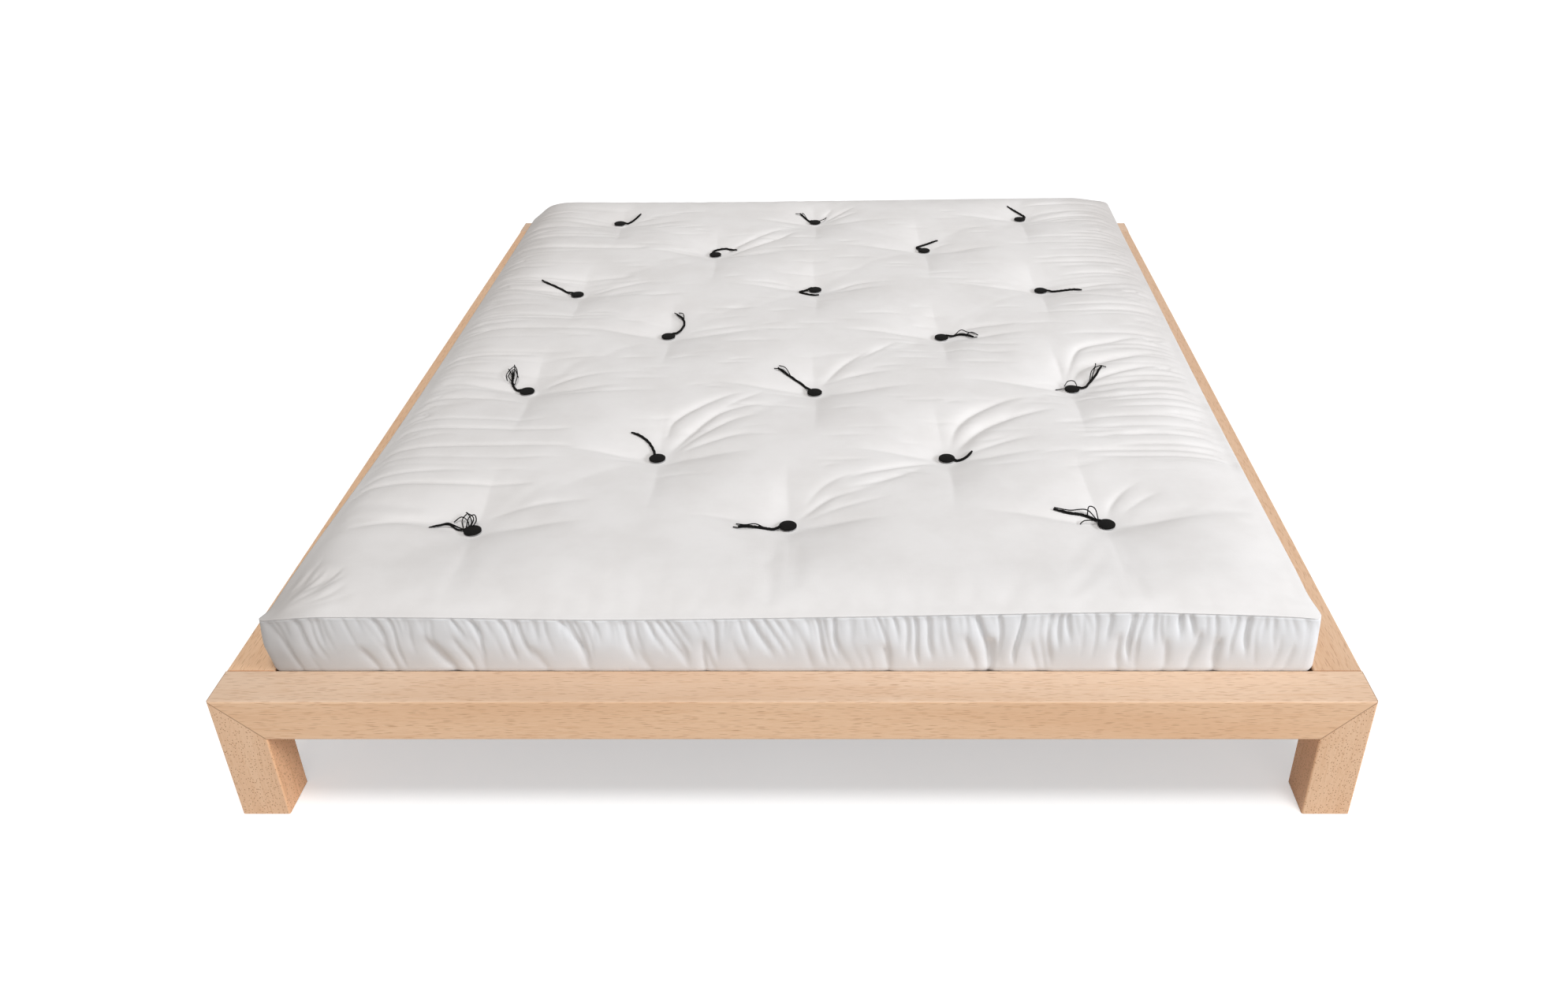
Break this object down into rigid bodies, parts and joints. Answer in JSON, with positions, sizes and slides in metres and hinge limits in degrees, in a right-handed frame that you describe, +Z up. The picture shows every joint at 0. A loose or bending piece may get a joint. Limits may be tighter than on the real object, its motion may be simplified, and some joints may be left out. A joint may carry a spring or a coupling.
{
  "type": "low double bed",
  "caption": "Low double bed: square beech frame with mitred end frames, a screwed slatted deck, and a loose cotton futon with black felt tufts.",
  "frame": {"origin": "the middle of the bed's outline, on the floor that it stands on", "axes": "+X across the bed, to the right seen from the foot end; +Y from the foot end to the head end; +Z up"},
  "size_m": [1.76, 2.16, 0.3444],
  "materials": {
    "beech": "satin",
    "slat_beech": "matte",
    "joint_beech": "matte",
    "steel": "satin",
    "cotton": "matte",
    "felt": "matte",
    "cord": "matte"
  },
  "bodies": {
    "frame": {"foot_rail": "beech", "head_rail": "beech", "leg_foot_left": "beech", "leg_foot_right": "beech", "leg_head_left": "beech", "leg_head_right": "beech", "side_rail_left": "beech", "side_rail_right": "beech", "ledger_left": "beech", "ledger_right": "beech", "centre_beam": "beech", "centre_foot": "beech", "beam_hanger_foot": "steel", "beam_hanger_head": "steel", "slat_01": "slat_beech", "slat_02": "slat_beech", "slat_03": "slat_beech", "slat_04": "slat_beech", "slat_05": "slat_beech", "slat_06": "slat_beech", "slat_07": "slat_beech", "slat_08": "slat_beech", "slat_09": "slat_beech", "slat_10": "slat_beech", "slat_11": "slat_beech", "slat_12": "slat_beech", "slat_13": "slat_beech", "slat_14": "slat_beech", "mitre_tenons": "joint_beech", "locating_dowels": "joint_beech", "corner_studs": "steel", "half_moon_washers": "steel", "corner_nuts": "steel", "ledger_screws": "steel", "slat_screws": "steel", "hanger_screws": "steel", "centre_foot_stud": "steel"},
    "futon": {"futon": "cotton", "tuft_pads_top": "felt", "tuft_pads_under": "felt", "tuft_stitches": "cord", "tuft_tails": "cord"}
  },
  "joints": [
    {"name": "futon_lift", "type": "slide", "parent": "frame", "child": "futon", "axis": [0, 0, 1], "range_m": [0, 0.3]}
  ]
}
